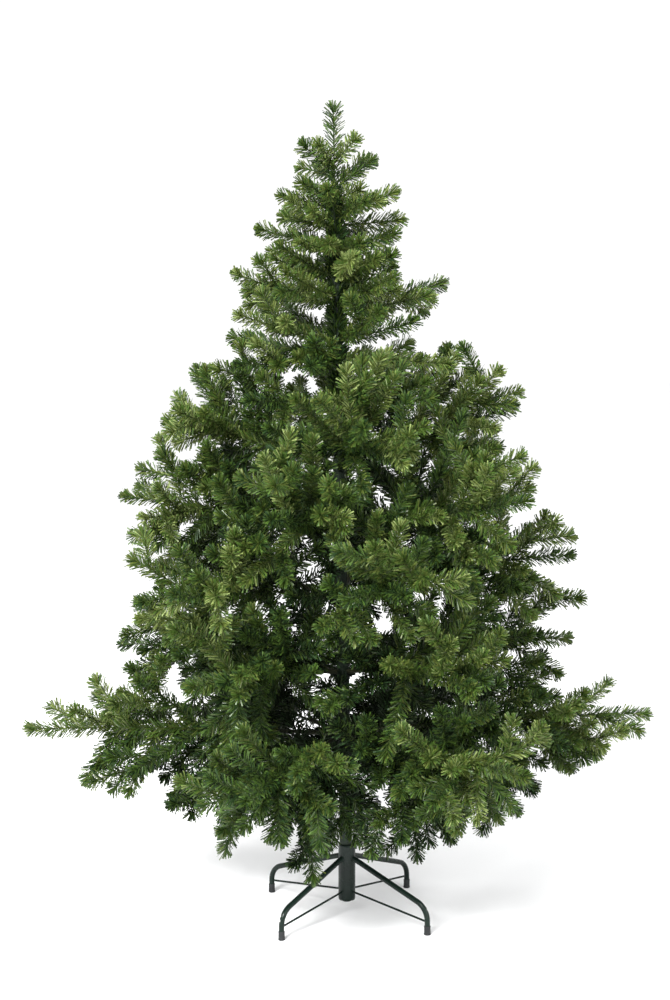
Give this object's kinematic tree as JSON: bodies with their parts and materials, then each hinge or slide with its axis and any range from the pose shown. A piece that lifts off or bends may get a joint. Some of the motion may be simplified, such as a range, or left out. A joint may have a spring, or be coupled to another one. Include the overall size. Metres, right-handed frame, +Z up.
{
  "type": "artificial christmas tree",
  "caption": "Full artificial christmas tree of plain green needles on hinged boughs round a leaning steel pole, in a low stand of splayed tube legs with rubber caps.",
  "frame": {"origin": "on the floor at the middle of the tree's box, a few millimetres from the axis of the stand's socket", "axes": "+Z up along the tree from stand to leader; -Y towards the viewer; +X towards the viewer's right, along the two longest skirt boughs"},
  "size_m": [1.4132, 1.0534, 1.7997],
  "materials": {
    "stand_steel": "very dark green enamel on steel tube, half gloss, scuffed at the front bends",
    "foot_rubber": "dull black rubber",
    "pole_steel": "dark green paint, satin",
    "twig_wire": "twisted wire wrapped in dull brownish green film",
    "needles": "cut plastic film needles, dull, in several greens from deep inside the crown to pale yellowish green outside"
  },
  "bodies": {
    "root": {"bough_low_1": "pole_steel", "bough_low_2": "pole_steel", "bough_low_3": "pole_steel", "bough_low_4": "pole_steel", "bough_low_5": "pole_steel", "bough_middle_1": "pole_steel", "bough_middle_2": "pole_steel", "bough_middle_3": "pole_steel", "bough_middle_4": "pole_steel", "bough_middle_5": "pole_steel", "bough_skirt_1": "pole_steel", "bough_skirt_2": "pole_steel", "bough_skirt_3": "pole_steel", "bough_skirt_4": "pole_steel", "bough_skirt_5": "pole_steel", "bough_skirt_6": "pole_steel", "brace_front_left": "stand_steel", "brace_front_right": "stand_steel", "brace_rear_left": "stand_steel", "brace_rear_right": "stand_steel", "foot_front_left": "foot_rubber", "foot_front_right": "foot_rubber", "foot_rear_left": "foot_rubber", "foot_rear_right": "foot_rubber", "leg_front_left": "stand_steel", "leg_front_right": "stand_steel", "leg_rear_left": "stand_steel", "leg_rear_right": "stand_steel", "mass_high_1": "needles", "mass_high_2": "needles", "mass_high_3": "needles", "mass_high_4": "needles", "mass_leader": "needles", "mass_low_1": "needles", "mass_low_2": "needles", "mass_low_3": "needles", "mass_low_4": "needles", "mass_low_5": "needles", "mass_middle_1": "needles", "mass_middle_2": "needles", "mass_middle_3": "needles", "mass_middle_4": "needles", "mass_middle_5": "needles", "mass_skirt_1": "needles", "mass_skirt_2": "needles", "mass_skirt_3": "needles", "mass_skirt_4": "needles", "mass_skirt_5": "needles", "mass_skirt_6": "needles", "mass_upper_1": "needles", "mass_upper_2": "needles", "mass_upper_3": "needles", "mass_upper_4": "needles", "mass_upper_5": "needles", "mass_whorl_1": "needles", "mass_whorl_2": "needles", "mass_whorl_3": "needles", "mass_whorl_4": "needles", "stand_socket": "stand_steel", "trunk": "pole_steel"}
  },
  "joints": []
}
